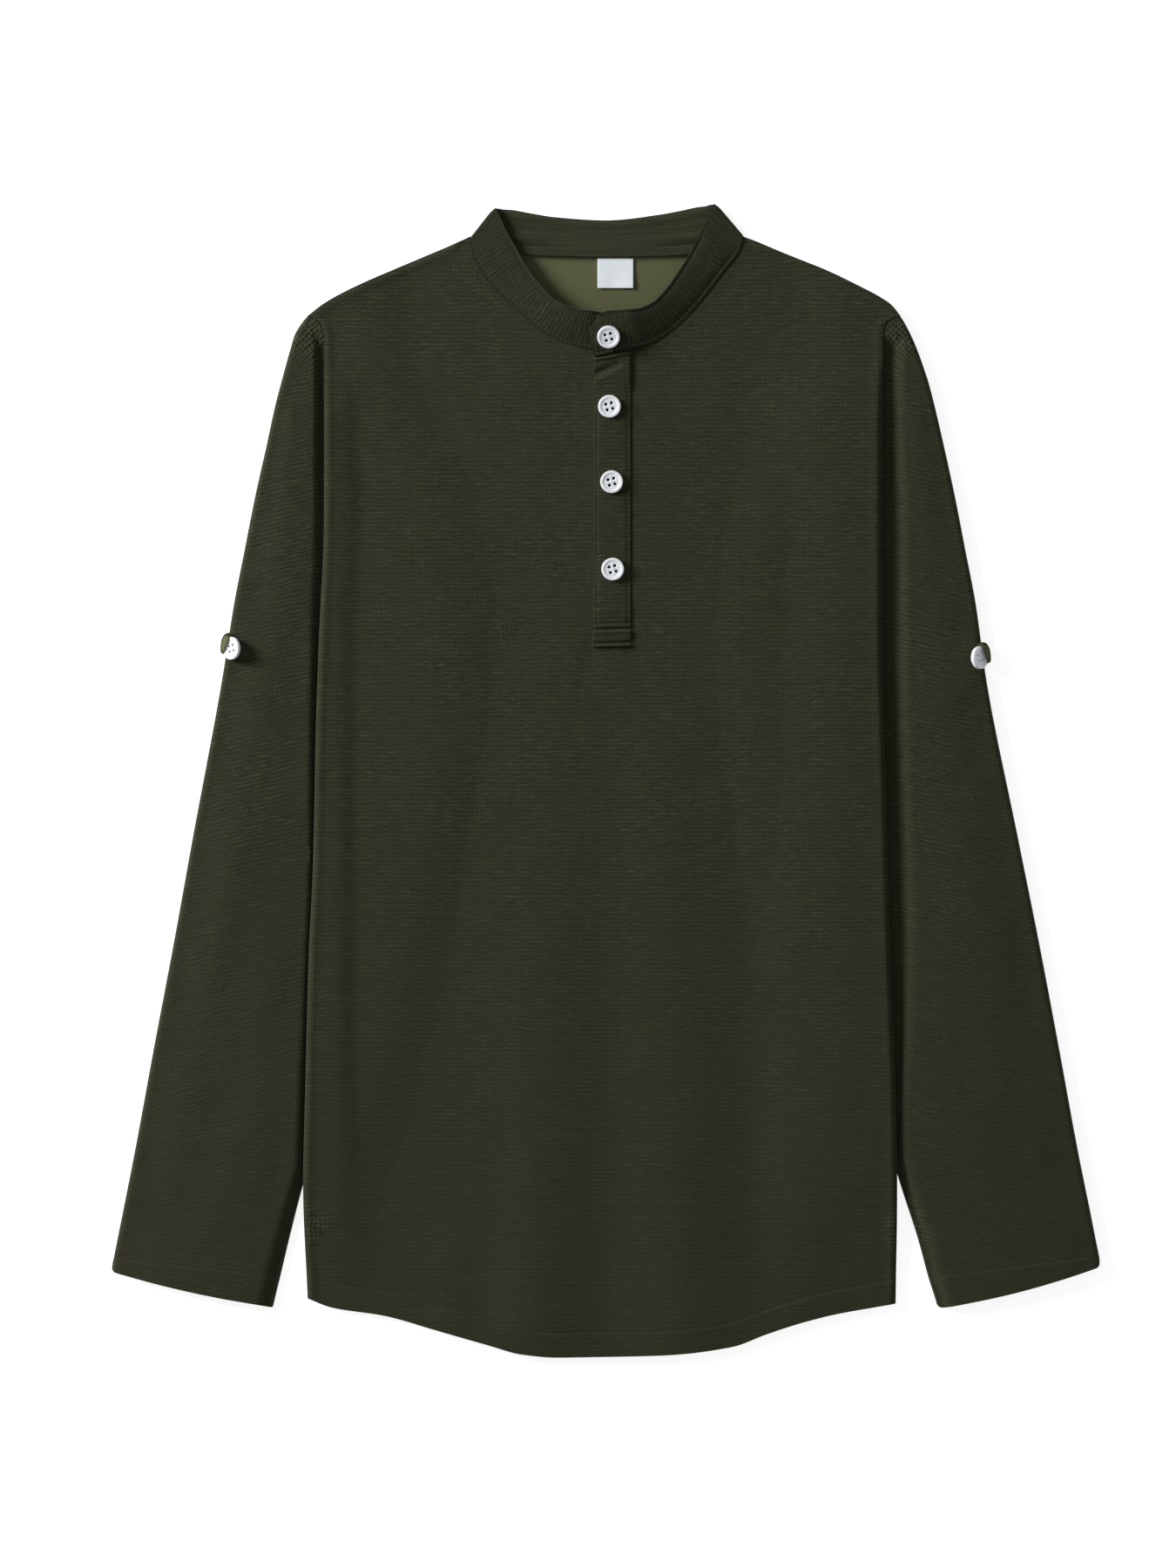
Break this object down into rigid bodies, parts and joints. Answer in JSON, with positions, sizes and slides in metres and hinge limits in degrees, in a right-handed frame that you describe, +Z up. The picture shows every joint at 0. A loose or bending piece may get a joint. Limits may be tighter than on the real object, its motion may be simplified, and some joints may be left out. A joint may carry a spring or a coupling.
{
  "type": "long-sleeve henley shirt with a band collar, laid flat",
  "caption": "Waffle-knit long-sleeve henley shirt laid flat: band collar, buttoned half placket, curved hem, roll-up tabs on the sleeves.",
  "frame": {"origin": "middle of the bounding box at its base, on the surface the shirt lies on", "axes": "+X towards the wearer's left sleeve, +Y from the hem to the collar, +Z up from the surface, out of the front of the shirt"},
  "size_m": [0.634, 0.7408, 0.0153],
  "materials": {
    "waffle_knit": "dark olive waffle knit, matt",
    "knit_wrong_side": "lighter wrong side of the same knit",
    "button_plastic": "white, soft gloss",
    "label_satin": "white woven satin, bare"
  },
  "bodies": {
    "root": {"back_panel": "knit_wrong_side", "front_panel": "waffle_knit", "right_sleeve": "waffle_knit", "left_sleeve": "waffle_knit", "collar_band": "waffle_knit", "placket_top_strip": "waffle_knit", "placket_under_strip": "waffle_knit", "neck_label": "label_satin", "collar_button": "button_plastic", "placket_button_1": "button_plastic", "placket_button_2": "button_plastic", "placket_button_3": "button_plastic", "right_sleeve_tab": "knit_wrong_side", "left_sleeve_tab": "knit_wrong_side", "right_sleeve_button": "button_plastic", "left_sleeve_button": "button_plastic"}
  },
  "joints": []
}
